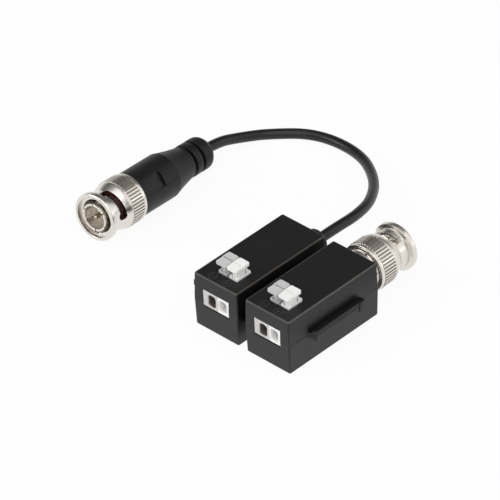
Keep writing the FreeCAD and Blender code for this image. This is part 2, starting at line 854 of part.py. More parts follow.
def grip_panel(side):
    """Cutter for a finger panel that starts flush and runs in deeper to the shoulder."""
    half = grip_panel_width / 2
    front = boot_shoulder - grip_panel_length
    sagitta = boot_radius - math.sqrt(boot_radius ** 2 - half ** 2)
    deep = boot_radius - sagitta - grip_panel_depth
    shallow = boot_radius
    outline = [V(shallow, -half, front), V(deep, -half, boot_shoulder),
               V(2 * boot_radius, -half, boot_shoulder), V(2 * boot_radius, -half, front)]
    tool = polygon_face(outline).extrude(V(0, grip_panel_width, 0))
    tool.rotate(V(0, 0, 0), V(0, 0, 1), 90 + 90 * side)
    return tool


def crimp_sleeve():
    return tube(crimp_radius, cable_radius + seat_gap, crimp_start + seat_gap,
                crimp_start + crimp_length - seat_gap)


def gland():
    """Moulded strain relief held in the left housing's back wall, along Y."""
    z = gland_axis_z
    outer = disc(0, z, gland_radius, housing_length + seat_gap,
                 housing_length + gland_length)
    rim = [e for e in outer.Edges if e.Closed
           and e.CenterOfMass.y > housing_length + gland_length / 2]
    outer = outer.makeChamfer(gland_round, rim)
    neck_start = back_wall_inside(z, gland_radius) - seat_gap
    neck = disc(0, z, gland_neck_radius, neck_start, housing_length + wall)
    flange = disc(0, z, gland_radius, neck_start - gland_flange_thickness, neck_start)
    solid = outer.fuse([neck, flange]).removeSplitter()
    return solid.cut(disc(0, z, cable_radius + seat_gap, 0, 2 * housing_length))


def rounded_path(points):
    """Straight runs joined by tangent arcs, each as large as its two runs allow."""
    edges, start = [], points[0]
    for before, corner, after in zip(points, points[1:], points[2:]):
        into, out = (corner - before), (after - corner)
        turn = into.getAngle(out)
        cut = 0.45 * min(into.Length, out.Length)
        radius = cut / math.tan(turn / 2)
        print("cable radius %.1f mm, turn %.0f degrees" % (radius, math.degrees(turn)))
        into.normalize()
        out.normalize()
        a, b = corner - into * cut, corner + out * cut
        inward = (out - into).normalize()
        middle = corner + inward * (radius / math.cos(turn / 2) - radius)
        edges += [Part.LineSegment(start, a).toShape(), Part.Arc(a, middle, b).toShape()]
        start = b
    edges.append(Part.LineSegment(start, points[-1]).toShape())
    return Part.Wire(edges)


def cable(points):
    path = rounded_path(points)
    start = points[1] - points[0]
    circle = Part.Wire(Part.makeCircle(cable_radius, points[0], start))
    solid = path.makePipeShell([circle], True, False, 2)
    section = math.pi * cable_radius ** 2
    print("cable length %.1f mm, volume over section times length %.4f"
          % (path.Length, solid.Volume / (section * path.Length)))
    return solid


# Assembly

def module_pieces(side, port):
    """Every piece inside one housing, from the module's centre line, front and bottom."""
    sides = {"grey": (window_left + fit_gap, pole_split_x - fit_gap / 2),
             "white": (pole_split_x + fit_gap / 2, -window_left - fit_gap)}
    pieces = {
        side + "_upper_shell": upper_shell(port),
        side + "_lower_shell": lower_shell(port),
        side + "_circuit_board": circuit_board(),
        side + "_balun_core": balun_core(),
        side + "_balun_winding": balun_winding(),
        side + "_surge_suppressor": leaded_block(suppressor_size, 0, core_centre_y
                                                 + core_outer_radius + suppressor_size.y),
        side + "_capacitor": leaded_block(capacitor_size, 0, pole_back_y
                                          + capacitor_size.y),
    }
    for colour, x in (("grey", grey_x), ("white", white_x)):
        pieces["%s_%s_pole" % (side, colour)] = pole(x, *sides[colour])
        pieces["%s_%s_lever" % (side, colour)] = lever(x)
        pieces["%s_%s_clamp_spring" % (side, colour)] = clamp_spring(x)
        pieces["%s_%s_contact" % (side, colour)] = contact(x)
    return pieces


def placed(shape, placement):
    shape = shape.copy()
    shape.Placement = placement.multiply(shape.Placement)
    return shape


def pigtail_placement():
    """Turns the plug's Z, which runs from rim to boot, into its lie on the floor."""
    yaw = FreeCAD.Rotation(V(0, 0, 1), -pigtail_yaw)
    tilt = FreeCAD.Rotation(V(1, 0, 0), -90 - pigtail_pitch)
    rim = V(pigtail_rim_x, pigtail_rim_y, pigtail_rim_z)
    return FreeCAD.Placement(rim, yaw.multiply(tilt))


def build():
    pieces = {}
    to_frame = FreeCAD.Placement(V(pair_shift_x, front_y, 0), FreeCAD.Rotation())
    ports = {"left": dict(z=gland_axis_z, radius=gland_neck_radius),
             "right": dict(z=plug_axis_z, radius=collar_neck_radius)}
    centres = {"left": -module_pitch / 2, "right": module_pitch / 2}
    for side, port in ports.items():
        shift = to_frame.multiply(FreeCAD.Placement(V(centres[side], 0, 0),
                                                    FreeCAD.Rotation()))
        parts = module_pieces(side, port)
        if side == "left":
            parts["cable_gland"] = gland()
        else:
            parts["rear_collar"] = rear_collar()
        for name, shape in parts.items():
            pieces[name] = placed(shape, shift)

    right_tail = plug_rim_y - housing_length + wall + collar_flange_thickness
    along_back = FreeCAD.Rotation(V(1, 0, 0), 90)
    right_lie = to_frame.multiply(FreeCAD.Placement(
        V(centres["right"], plug_rim_y, plug_axis_z), along_back))
    for name, shape in plug_pieces("right", right_slot_angle, right_tail,
                                   right_tail + pin_length).items():
        pieces[name] = placed(shape, right_lie)

    left_lie = to_frame.multiply(pigtail_placement())
    pigtail_tail = crimp_start - seat_gap
    pigtail = plug_pieces("pigtail", left_slot_angle, pigtail_tail, pigtail_tail)
    pigtail["boot"] = boot()
    pigtail["crimp_sleeve"] = crimp_sleeve()
    for name, shape in pigtail.items():
        pieces[name] = placed(shape, left_lie)

    boot_face = left_lie.multVec(V(0, 0, boot_end))
    boot_lead = left_lie.multVec(V(0, 0, boot_end + boot_run))
    gland_face = V(centres["left"], housing_length + gland_length, gland_axis_z)
    gland_lead = gland_face + V(0, gland_run, 0)
    middle = [to_frame.multVec(p) for p in [gland_face, gland_lead] + cable_points]
    pieces["cable"] = cable(middle + [boot_lead, boot_face])
    inner = disc(0, gland_axis_z, cable_radius, housing_length + gland_length
                 - cable_inner_length, housing_length + gland_length)
    inner.translate(V(centres["left"], 0, 0))
    pieces["cable_housing_end"] = placed(inner, to_frame)
    end = Part.makeCylinder(cable_radius, boot_end - crimp_start - 2 * seat_gap,
                            V(0, 0, crimp_start + 2 * seat_gap))
    pieces["cable_boot_end"] = placed(end, left_lie)
    return pieces


os.makedirs("parts", exist_ok=True)
for node, shape in build().items():
    shape.exportStep("parts/%s.step" % node)
    print(node, "solids", len(shape.Solids), "valid", shape.isValid(),
          "volume %.2f" % shape.Volume)
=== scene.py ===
# %% [markdown]
# # A pair of video baluns
#
# A balun lets a video signal from a security camera travel over a plain twisted pair of
# wires. Two of them stand here, keyed together: black two-part housings with push-lever wire
# terminals in front. The right one has a bayonet plug on its back, the left one a short
# cable that bends round to a plug with a moulded boot.
#
# The imported model comes first, because it fixes every size and place.

# %% Load the imported model
import json
import math
import bmesh
import bpy
from mathutils import Matrix, Vector

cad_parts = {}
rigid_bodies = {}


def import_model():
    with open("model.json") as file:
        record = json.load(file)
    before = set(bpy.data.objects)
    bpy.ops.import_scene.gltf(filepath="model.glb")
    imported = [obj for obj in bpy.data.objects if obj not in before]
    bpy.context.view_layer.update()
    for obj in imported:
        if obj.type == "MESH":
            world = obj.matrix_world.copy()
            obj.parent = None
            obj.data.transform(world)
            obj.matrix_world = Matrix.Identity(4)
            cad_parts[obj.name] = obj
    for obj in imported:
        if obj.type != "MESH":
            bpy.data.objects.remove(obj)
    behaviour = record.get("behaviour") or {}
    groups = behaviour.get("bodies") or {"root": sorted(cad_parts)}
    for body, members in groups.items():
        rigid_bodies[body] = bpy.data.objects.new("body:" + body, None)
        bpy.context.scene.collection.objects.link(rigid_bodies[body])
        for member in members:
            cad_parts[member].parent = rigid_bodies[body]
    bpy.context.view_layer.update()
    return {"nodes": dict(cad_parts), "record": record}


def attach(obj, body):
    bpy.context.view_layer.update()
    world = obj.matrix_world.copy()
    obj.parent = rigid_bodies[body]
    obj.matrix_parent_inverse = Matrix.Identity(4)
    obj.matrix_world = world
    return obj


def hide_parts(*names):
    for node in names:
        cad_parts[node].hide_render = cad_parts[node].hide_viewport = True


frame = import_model()
nodes = frame["nodes"]
MM = 0.001

# %% [markdown]
# ## Sizes that several pieces share
#
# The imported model's frame has the wire terminals towards -Y and the right plug towards +Y.
# The two housings are alike and differ only in where their middles stand along X. These
# places are in millimetres, as all sizes of pieces are in this file.

# %% Shared sizes
front_y, plug_rim_y = -25.45, 25.45
housing_length, housing_height = 34.3, 16.8
housing_middle = {"left": -8.925, "right": 9.375}
gland_height, right_plug_height = 8.85, 9.65
back_wall_y = housing_length + front_y
print("housings run from y =", front_y, "to", round(back_wall_y, 2))

# %% [markdown]
# ## Camera
#
# The camera stands where the photo was taken from: a long lens from the front right, well
# above the table, with a slight roll. Its matrix is built from the three directions that a
# camera has, right, up and back, so no constraint has to follow anything.

# %% Camera
camera_azimuth = math.radians(44.72)
camera_elevation = math.radians(36.63)
camera_roll = math.radians(-2.43)
camera_distance = 1.2689
camera_target = Vector((-0.02787, 0.00727, 0.0))
camera_angle = math.radians(6.037)

flat = math.cos(camera_elevation)
back = Vector((math.sin(camera_azimuth) * flat, -math.cos(camera_azimuth) * flat,
               math.sin(camera_elevation)))
level_right = (-back).cross(Vector((0, 0, 1))).normalized()
level_up = level_right.cross(-back)
right = math.cos(camera_roll) * level_right + math.sin(camera_roll) * level_up
up = math.cos(camera_roll) * level_up - math.sin(camera_roll) * level_right

bpy.ops.object.camera_add()
camera = bpy.context.object
camera.name = "photo_camera"
camera.matrix_world = Matrix((right, up, back)).transposed().to_4x4()
camera.location = camera_target + back * camera_distance
camera.data.angle = camera_angle
camera.data.clip_start = 0.05
camera.data.clip_end = 20
bpy.context.scene.camera = camera
print("camera at", [round(c, 3) for c in camera.location])

# %% [markdown]
# ## The cable
#
# A thin coaxial cable is stiff: it leaves the housing straight, sinks to the table in one
# wide bend and rises into the boot. Its middle line is one smooth NURBS curve through a few
# listed points, and a round bevel gives it its thickness. The order is set after the points
# are there, because set before, it falls back to straight runs. Its last two points lie on
# the axis of the pigtail's plug, so the plug's place is settled here as well.

# %% Cable
cable_diameter = 3.0 * MM
plug_rim = Vector((-0.061125, -0.01786, 0.008767))
plug_yaw = math.radians(3.3)
plug_pitch = math.radians(4.36)
boot_end, lead_length = 45.2, 6
plug_lie = (Matrix.Translation(plug_rim) @ Matrix.Rotation(plug_yaw, 4, "Z")
            @ Matrix.Rotation(-math.pi / 2 - plug_pitch, 4, "X"))
boot_mouth = plug_lie @ Vector((0, 0, boot_end * MM))
boot_lead = plug_lie @ Vector((0, 0, boot_end * MM + lead_length * MM))

cable_route = [
    (-0.008925, 0.01425, 0.00885), (-0.008925, 0.02105, 0.00885),
    (-0.009075, 0.02905, 0.00830), (-0.012175, 0.03845, 0.00650),
    (-0.020375, 0.04915, 0.00390), (-0.033375, 0.05755, 0.00195),
    (-0.049275, 0.05715, 0.00155), (-0.059475, 0.04805, 0.00165),
    (-0.062975, 0.04035, 0.00285), tuple(boot_lead), tuple(boot_mouth)]

line = bpy.data.curves.new("cable", "CURVE")
line.dimensions = "3D"
line.resolution_u = 24
line.bevel_depth = cable_diameter / 2
line.bevel_resolution = 8
spline = line.splines.new("NURBS")
spline.points.add(len(cable_route) - 1)
for point, place in zip(spline.points, cable_route):
    point.co = (*place, 1)
spline.order_u = 3
spline.use_endpoint_u = True
cable = bpy.data.objects.new("cable_jacket", line)
bpy.context.scene.collection.objects.link(cable)
print("cable length in mm:", round(spline.calc_length() / MM, 1))

# %% [markdown]
# ## Shader maths
#
# Procedural finishes are sums and products of noise. Written node by node they are
# unreadable, so a small class wraps a socket and lets Python's own operators add the Math
# nodes. The forms with an r in front serve where the number comes first, as in 1 - mask.

# %% Maths on sockets
class Value:
    """A socket that can be added, multiplied and so on, each time through a Math node."""

    def __init__(self, wiring, socket):
        self.wiring = wiring
        self.socket = socket

    def maths(self, operation, *values):
        return self.wiring.add("ShaderNodeMath", {"operation": operation}, *values)

    def __add__(self, other):
        return self.maths("ADD", self, other)

    __radd__ = __add__

    def __sub__(self, other):
        return self.maths("SUBTRACT", self, other)

    def __rsub__(self, other):
        return self.maths("SUBTRACT", other, self)

    def __mul__(self, other):
        return self.maths("MULTIPLY", self, other)

    __rmul__ = __mul__

    def clamped(self, low, high):
        """This value mapped from low..high to 0..1, and held there."""
        return self.wiring.add("ShaderNodeMapRange", {"clamp": True}, self, low, high,
                               0.0, 1.0)


print("a socket now takes +, - and *")

# %% [markdown]
# Every other node goes through one method, which takes its type, its settings and its
# inputs. The Mix node has sockets of its own for numbers, vectors and colours, and its two
# colours are the seventh and the eighth, so the ones between are passed over.

# %% Wiring
class Wiring:
    """The nodes of one material or of the world."""

    mix_gap = [None] * 5

    def __init__(self, tree):
        self.tree = tree

    def plug(self, value, socket):
        """Link a value to a socket or write a number there; None leaves the socket alone."""
        if isinstance(value, Value):
            self.tree.links.new(value.socket, socket)
        elif value is not None:
            socket.default_value = value

    def add(self, kind, settings, *values, output=0, **named):
        """Any node: its settings first, then its inputs in order or by name."""
        node = self.tree.nodes.new(kind)
        for setting, value in settings.items():
            if setting == "stops":
                ramp = node.color_ramp.elements
                while len(ramp) < len(value):
                    ramp.new(0.5)
                for element, (position, colour) in zip(ramp, value):
                    element.position = position
                    element.color = colour
            else:
                setattr(node, setting, value)
        for value, socket in zip(values, node.inputs):
            self.plug(value, socket)
        for name, value in named.items():
            self.plug(value, node.inputs[name.replace("_", " ")])
        return Value(self, node.outputs[output])

    def blend(self, share, first, second):
        """A colour that runs from the first to the second as the share goes 0 to 1."""
        return self.add("ShaderNodeMix", {"data_type": "RGBA"}, share, *self.mix_gap,
                        first, second, output=2)


class Finish(Wiring):
    """One material: Object coordinates in, a Principled shader out."""

    def __init__(self, name, **sockets):
        self.material = bpy.data.materials.new(name)
        self.material.use_nodes = True
        super().__init__(self.material.node_tree)
        self.shader = self.tree.nodes["Principled BSDF"]
        self.give(**sockets)
        self.place = self.add("ShaderNodeTexCoord", {}, output="Object")

    def noise(self, size, detail=2.0, stretch=None):
        """Noise with blobs of about this size in metres, from 0 to 1, middle 0.5."""
        where = self.place
        if stretch:
            where = self.add("ShaderNodeMapping", {}, where, Scale=stretch)
        return self.add("ShaderNodeTexNoise", {}, Vector=where, Scale=1 / size,
                        Detail=detail)

    def bump(self, height, depth):
        """Relief of the given depth in metres, into the shader's normal."""
        relief = self.add("ShaderNodeBump", {}, Strength=1.0, Distance=depth,
                          Height=height, output="Normal")
        self.give(Normal=relief)

    def give(self, **sockets):
        """Values for the shader's own sockets, by name."""
        for socket, value in sockets.items():
            self.plug(value, self.shader.inputs[socket.replace("_", " ")])
        return self.material


def grey(level, warmth=0.0):
    """A near-neutral colour; warmth lifts red over blue."""
    return (level * (1 + warmth), level, level * (1 - warmth), 1.0)


print("a warm mid grey:", grey(0.5, 0.02))

# %% [markdown]
# ## Plastics
#
# The housings are black plastic from a finely eroded mould: the texture is far too fine to
# be seen as bumps, but it widens the highlight and breaks it up. Boot and cable are softer
# black plastic with a waxy sheen. Fine noise gives the erosion, and broad noise the slow
# changes in tone and gloss of a part that has been handled.
#
# Two of the finishes are painted light and shade on picked faces: a paler painted highlight
# along the housings' top edges, and painted shade inside the grey poles' holes.

# %% Plastics
cloud_size = 6 * MM
fine_gloss, broad_gloss = 0.14, 0.1


def moulded(name, colour, roughness, grain=0.12 * MM, relief=0.004 * MM, clouds=0.12,
            shine=0.5):
    """Moulded plastic: fine erosion, faint clouds in tone, uneven gloss."""
    finish = Finish(name, Specular_IOR_Level=shine)
    fine = finish.noise(grain, 3.0)
    broad = finish.noise(cloud_size, 2.0)
    darker = [c * (1 - clouds) for c in colour[:3]] + [1.0]
    lighter = [c * (1 + clouds) for c in colour[:3]] + [1.0]
    tone = (broad * 0.7 + fine * 0.3).clamped(0.3, 0.7)
    gloss = (fine - 0.5) * fine_gloss + (broad - 0.5) * broad_gloss + roughness
    finish.bump(fine, relief)
    return finish.give(Base_Color=finish.blend(tone, darker, lighter), Roughness=gloss)


housing_black = moulded("housing_black", grey(0.004), 0.42, shine=0.42)
lever_grey = moulded("lever_grey", grey(0.56, 0.01), 0.38, clouds=0.04)
lever_white = moulded("lever_white", grey(0.88, 0.01), 0.36, clouds=0.03)
pole_grey = moulded("pole_grey", grey(0.54, 0.01), 0.42, clouds=0.05)
pole_white = moulded("pole_white", grey(0.84, 0.01), 0.4, clouds=0.03)
boot_black = moulded("boot_black", grey(0.005), 0.46, grain=0.2 * MM, relief=0.006 * MM,
                     shine=0.3)
collar_black = moulded("collar_black", grey(0.018), 0.36)
cable_black = moulded("cable_black", grey(0.006), 0.34, grain=0.3 * MM, relief=0.003 * MM,
                      shine=0.4)
seal_red = moulded("seal_red", (0.035, 0.006, 0.006, 1.0), 0.5)
dielectric = moulded("dielectric", (0.90, 0.84, 0.76, 1.0), 0.4, clouds=0.06)
chip_black = moulded("chip_black", grey(0.02), 0.5)
ferrite = moulded("ferrite", grey(0.05), 0.6, grain=0.05 * MM, relief=0.01 * MM)
board_green = moulded("board_green", (0.01, 0.12, 0.045, 1.0), 0.3, clouds=0.2)
# Painted highlight: a paler tan colour for the broken top edges of the housings.
edge_painted_highlight = moulded("edge_painted_highlight", (0.060, 0.050, 0.043, 1.0), 0.3, shine=0.7)
# Painted shade: a dark colour for the walls inside the grey poles' holes.
hole_painted_shade = moulded("hole_painted_shade", (0.12, 0.10, 0.09, 1.0), 0.6)
mark_grey = moulded("mark_grey", grey(0.045), 0.5)
print("plastics:", len(bpy.data.materials))

# %% [markdown]
# ## Metals
#
# The plugs are nickel plate, warm and bright, a little brushed round their axis. Streaks
# come from noise that is squeezed along one axis. The plate also has a few fine marks from
# handling, which only change its gloss.
#
# A nut's deep grooves mirror each other and its slots mirror the dark seal. A bright metal
# with soft light all round can't show that by itself, so two darker plate colours paint that
# shade onto those walls: painted shade and reflection on the slot walls, and painted shade on
# the groove floors.

# %% Metals
plate_relief = 0.002 * MM
streak_size, patch_size, mark_size = 0.25 * MM, 3 * MM, 1.1 * MM
streak_gloss, patch_gloss, mark_gloss = 0.16, 0.1, 0.12


def plated(name, colour, roughness, streak=(1, 1, 1)):
    """Plated metal: faint streaks in gloss and tone, a few fine handling marks."""
    finish = Finish(name, Metallic=1.0)
    streaks = finish.noise(streak_size, 4.0, streak)
    broad = finish.noise(patch_size, 2.0)
    marks = finish.noise(mark_size, 5.0, (1, 6, 1)).clamped(0.62, 0.72)
    darker = [c * 0.9 for c in colour[:3]] + [1.0]
    gloss = ((streaks - 0.5) * streak_gloss + (broad - 0.5) * patch_gloss
             + marks * mark_gloss + roughness)
    finish.bump(streaks * 0.7 + marks * 0.3, plate_relief)
    return finish.give(Base_Color=finish.blend((streaks + broad) * 0.5, colour, darker),
                       Roughness=gloss)


nickel = plated("nickel", (0.80, 0.76, 0.71, 1.0), 0.26, (0.4, 5, 0.4))
# Painted shade and reflection: dark red-brown plate colour for the slot walls, where the dark
# seal is mirrored.
slot_painted_shade = plated("slot_painted_shade", (0.045, 0.010, 0.009, 1.0), 0.35)
# Painted shade: darker plate colour for the floors of the knurl's grooves.
groove_painted_shade = plated("groove_painted_shade", (0.30, 0.26, 0.23, 1.0), 0.4)
spring_steel = plated("spring_steel", (0.62, 0.62, 0.62, 1.0), 0.26)
tinned_metal = plated("tinned_metal", (0.76, 0.76, 0.74, 1.0), 0.3)
# Painted reflection: the pin's plate colour is darkened to brown for the dark ferrule wall
# that its shaft mirrors.
gold_pin = plated("gold_pin", (0.46, 0.38, 0.28, 1.0), 0.16)
enamelled_wire = plated("enamelled_wire", (0.55, 0.22, 0.08, 1.0), 0.25)
print("plastics and metals:", len(bpy.data.materials))

# %% [markdown]
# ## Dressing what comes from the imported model
#
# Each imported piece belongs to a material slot. Those that keep their shape get the finish
# of their slot here; the ones that are modelled anew below are hidden later. The cable is
# the first of these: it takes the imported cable's place on the left housing.

# %% Finish of every slot
slot_finish = {
    "housing_black": housing_black, "terminal_grey": lever_grey,
    "terminal_white": lever_white, "spring_steel": spring_steel,
    "tinned_metal": tinned_metal, "board_green": board_green, "ferrite": ferrite,
    "enamelled_wire": enamelled_wire, "chip_black": chip_black, "nickel": nickel,
    "gold_pin": gold_pin, "dielectric": dielectric, "seal_red": seal_red,
    "boot_black": boot_black, "collar_black": collar_black, "cable_black": cable_black}


def dress(piece, finish):
    """Give a piece its finish, and leave any second one that it has."""
    if piece.data.materials:
        piece.data.materials[0] = finish
    else:
        piece.data.materials.append(finish)


for row in frame["record"]["subparts"]:
    dress(nodes[row["node"]], slot_finish[row["material_slot"]])

dress(cable, cable_black)
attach(cable, "module_left")
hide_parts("cable")

# %% [markdown]
# ## Working by hand, in code
#
# Each new piece is shaped as it would be at the screen: select, extrude, scale, cut. An
# operator acts on whatever is selected, so every step starts from an empty selection, and
# faces are then picked by where they lie and which way they face. Sizes are in millimetres
# and are scaled down to metres at the last moment.

# %% Holding and picking
def hold(piece):
    """Deselect everything, then make this piece the only one in hand."""
    bpy.ops.object.select_all(action="DESELECT")
    piece.select_set(True)
    bpy.context.view_layer.objects.active = piece


def edit(piece):
    """Take a piece into edit mode with nothing selected on it."""
    hold(piece)
    bpy.ops.object.mode_set(mode="EDIT")
    bpy.ops.mesh.select_all(action="DESELECT")


def leave():
    bpy.ops.object.mode_set(mode="OBJECT")


def pick(test, kind="FACE"):
    """In edit mode, select the faces that pass a test of their middle (mm) and normal, or
    the edges that pass one of their middle and direction."""
    bpy.ops.mesh.select_mode(type=kind)
    bpy.ops.mesh.select_all(action="DESELECT")
    shape = bmesh.from_edit_mesh(bpy.context.object.data)
    chosen = 0
    if kind == "FACE":
        for face in shape.faces:
            if test(face.calc_center_median() / MM, face.normal):
                face.select_set(True)
                chosen += 1
    else:
        for edge in shape.edges:
            ends = [v.co / MM for v in edge.verts]
            if test((ends[0] + ends[1]) / 2, (ends[1] - ends[0]).normalized()):
                edge.select_set(True)
                chosen += 1
    bmesh.update_edit_mesh(bpy.context.object.data)
    return chosen


def paint_picked(piece, finish):
    """Give the picked faces a finish of their own, and go back to object mode."""
    if not piece.data.materials:
        piece.data.materials.append(None)
    piece.data.materials.append(finish)
    piece.active_material_index = len(piece.data.materials) - 1
    bpy.ops.object.material_slot_assign()
    leave()


print("pieces can be held, picked and painted")

# %% [markdown]
# A modifier is added and applied at once, so that the next step works on real faces. Cuts
# use the exact solver, which copes with walls that meet flush. Bevels break the sharp edges
# only, and weighted normals then keep the flat faces flat to the eye.

# %% Modifiers
flat_face_weight = 60


def apply_modifier(piece, kind, **settings):
    """Add a modifier with its settings and apply it at once."""
    modifier = piece.modifiers.new(kind.lower(), kind)
    for setting, value in settings.items():
        setattr(modifier, setting, value)
    hold(piece)
    bpy.ops.object.modifier_apply(modifier=modifier.name)


def cut_with(piece, *cutters, operation="DIFFERENCE"):
    """Cut a piece with each cutter, or join them to it, and throw the cutters away."""
    for cutter in cutters:
        apply_modifier(piece, "BOOLEAN", object=cutter, operation=operation, solver="EXACT")
        bpy.data.objects.remove(cutter, do_unlink=True)


def smooth(piece, sharp=35):
    """Shade smooth up to an angle in degrees."""
    hold(piece)
    bpy.ops.object.shade_smooth_by_angle(angle=math.radians(sharp))
    apply_modifier(piece, "WEIGHTED_NORMAL", keep_sharp=True, weight=flat_face_weight)


def soften(piece, width, sharp=35, segments=2):
    """Break the sharp edges by a width in mm and shade the rest smooth."""
    apply_modifier(piece, "BEVEL", width=width * MM, segments=segments,
                   limit_method="ANGLE", angle_limit=math.radians(sharp))
    smooth(piece, sharp)


print("pieces can be cut, softened and smoothed")

# %% [markdown]
# Turned pieces start as a half-section that is spun once round the Z axis, as on a lathe.
# The spin meets itself after a full turn, so its doubles are merged and its faces turned
# outwards. Square pieces and cutters start as a cube between two corners. What is finished
# is set down: its place goes into its mesh, and its object stays at the origin.

# %% Lathe, blocks and places
lathe_tolerance = 0.0005 * MM


def block(x0, x1, y0, y1, z0, z1):
    """A cube between two corners in mm, the start of a piece or a cutter."""
    middle = Vector((x0 + x1, y0 + y1, z0 + z1)) * MM / 2
    bpy.ops.object.select_all(action="DESELECT")
    bpy.ops.mesh.primitive_cube_add(size=1, location=middle)
    cube = bpy.context.object
    cube.scale = ((x1 - x0) * MM, (y1 - y0) * MM, (z1 - z0) * MM)
    bpy.ops.object.transform_apply(location=True, rotation=True, scale=True)
    return cube


def turn_on_lathe(name, profile, segments=96):
    """A closed half-section of (radius, height) points in mm, spun about Z."""
    mesh = bpy.data.meshes.new(name)
    mesh.from_pydata([(r * MM, 0, z * MM) for r, z in profile],
                     [(i, (i + 1) % len(profile)) for i in range(len(profile))], [])
    piece = bpy.data.objects.new(name, mesh)
    bpy.context.scene.collection.objects.link(piece)
    edit(piece)
    bpy.ops.mesh.select_all(action="SELECT")
    bpy.ops.mesh.spin(steps=segments, angle=2 * math.pi, center=(0, 0, 0), axis=(0, 0, 1))
    bpy.ops.mesh.select_all(action="SELECT")
    bpy.ops.mesh.remove_doubles(threshold=lathe_tolerance)
    bpy.ops.mesh.normals_make_consistent(inside=False)
    leave()
    return piece


def set_down(piece, place):
    """Give a piece its place and keep that place in its mesh."""
    hold(piece)
    piece.matrix_world = place
    bpy.ops.object.transform_apply(location=True, rotation=True, scale=True)


def turned(degrees):
    """A turn about Z."""
    return Matrix.Rotation(math.radians(degrees), 4, "Z")


def twin(piece, name):
    """A copy with a mesh of its own."""
    other = bpy.data.objects.new(name, piece.data.copy())
    bpy.context.scene.collection.objects.link(other)
    return other


def settle(piece, name, body, node, slot, finish=None):
    """Name a finished piece, and let it stand for its node on its body."""
    piece.name = name
    dress(piece, finish or slot_finish[slot])
    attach(piece, body)
    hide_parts(node)


print("helpers ready")

# %% [markdown]
# ## The coupling nut
#
# The nut is the piece of a bayonet plug that the hand turns. It is a lathe job: a wide
# bead at the mouth, a neck, a flare and a knurled grip. So it is made on a lathe here too,
# by spinning a half-section. Both plugs have the same nut, so it is made once, lying along
# Z with its mouth at the origin.

# %% Nut on the lathe
nut_length = 13.95
knurl_start, knurl_end = 8.4, 12.8
knurl_root, knurl_top = 6.75, 7.1
teeth, strips_per_tooth = 48, 4
nut_section = [
    (5.95, 0.06), (6.02, 0.0), (6.4, 0.0), (6.62, 0.05), (6.80, 0.16), (6.91, 0.33),
    (6.95, 0.55), (6.95, 1.62), (6.91, 1.73), (6.82, 1.78), (5.85, 1.84), (5.76, 1.9),
    (5.75, 2.05), (5.75, 4.85), (5.80, 5.05), (5.95, 5.45), (6.22, 6.05), (6.5, 6.7),
    (6.76, 7.35), (6.93, 7.88), (6.94, 8.0), (6.86, 8.03), (6.84, 8.1), (6.86, 8.17),
    (6.94, 8.2), (6.95, 8.25), (6.95, 8.36), (6.91, 8.4), (knurl_root, knurl_start),
    (knurl_root, knurl_end), (6.91, knurl_end), (6.95, 12.84), (6.95, 13.7),
    (6.88, 13.87), (6.74, nut_length), (6.0, nut_length), (5.9, 13.88), (5.9, 11.85),
    (4.3, 11.85), (4.3, 10.85), (4.9, 10.85), (4.9, 1.26), (4.96, 1.2), (5.95, 1.2)]
nut = turn_on_lathe("nut", nut_section, segments=strips_per_tooth * teeth)
print("nut faces on the lathe:", len(nut.data.polygons))

# %% [markdown]
# The knurl is straight: flat-topped teeth with grooves between them. Four strips of the
# spun band belong to each tooth, so two of the four are picked, extruded, and the new faces
# scaled away from the axis. All teeth come up in one step and stay exactly alike.

# %% Knurl teeth
def from_axis(middle):
    return math.hypot(middle.x, middle.y)


def on_a_tooth(middle, normal):
    """Whether a face is one of the two middle strips of a tooth."""
    if not knurl_start < middle.z < knurl_end or abs(normal.z) > 0.5:
        return False
    if not abs(from_axis(middle) - knurl_root) < 0.1:
        return False
    angle = math.atan2(middle.y, middle.x) % (2 * math.pi)
    strip = int(angle * strips_per_tooth * teeth / (2 * math.pi))
    return strip % strips_per_tooth in (1, 2)


edit(nut)
print("strips picked for teeth:", pick(on_a_tooth))
grow = knurl_top / knurl_root
bpy.ops.mesh.extrude_region_move()
bpy.ops.transform.resize(value=(grow, grow, 1), center_override=(0, 0, 0))
leave()

# %% [markdown]
# Two bayonet slots are cut opposite each other. Each starts as a groove inside the mouth,
# breaks through the neck behind the bead, climbs a short helix and ends in a round seat
# that the jack's lug snaps into. The helix is a cutter of its own: a small rectangle that
# is extruded, turned and lifted a little, step after step. The cut through the neck is a
# hair wider than the groove, so that no two walls of the cutters coincide.

# %% Cutters for the slots
slot_width, slot_start = 1.9, 3.65
slot_centre = slot_start + slot_width / 2
slot_travel, slot_sweep = 0.75, 77.0
seat_centre, seat_radius, seat_turn = 5.1, 1.25, 83.0
cut_inside, cut_outside = 3.9, 7.4
groove_outside, groove_half_width = 5.45, 0.85
neck_cut_start, neck_cut_half_width = 2.7, 0.86
pin_length, pin_middle = 4, 5.9


def ramp_cutter(steps=14):
    """A rectangle carried round the axis and up, as a solid bar."""
    bar = block(cut_inside, cut_outside, -0.01, 0.01, slot_start, slot_start + slot_width)
    edit(bar)
    for step in range(steps):
        angle = math.radians(slot_sweep) * step / steps
        ahead = Vector((-math.sin(angle), math.cos(angle), 0))
        pick(lambda middle, normal: normal.dot(ahead) > 0.9
             and abs(math.atan2(middle.y, middle.x) - angle) < 0.01)
        bpy.ops.mesh.extrude_region_move()
        bpy.ops.transform.rotate(value=-math.radians(slot_sweep) / steps, orient_axis="Z",
                                 center_override=(0, 0, 0))
        bpy.ops.transform.translate(value=(0, 0, slot_travel * MM / steps))
    leave()
    return bar


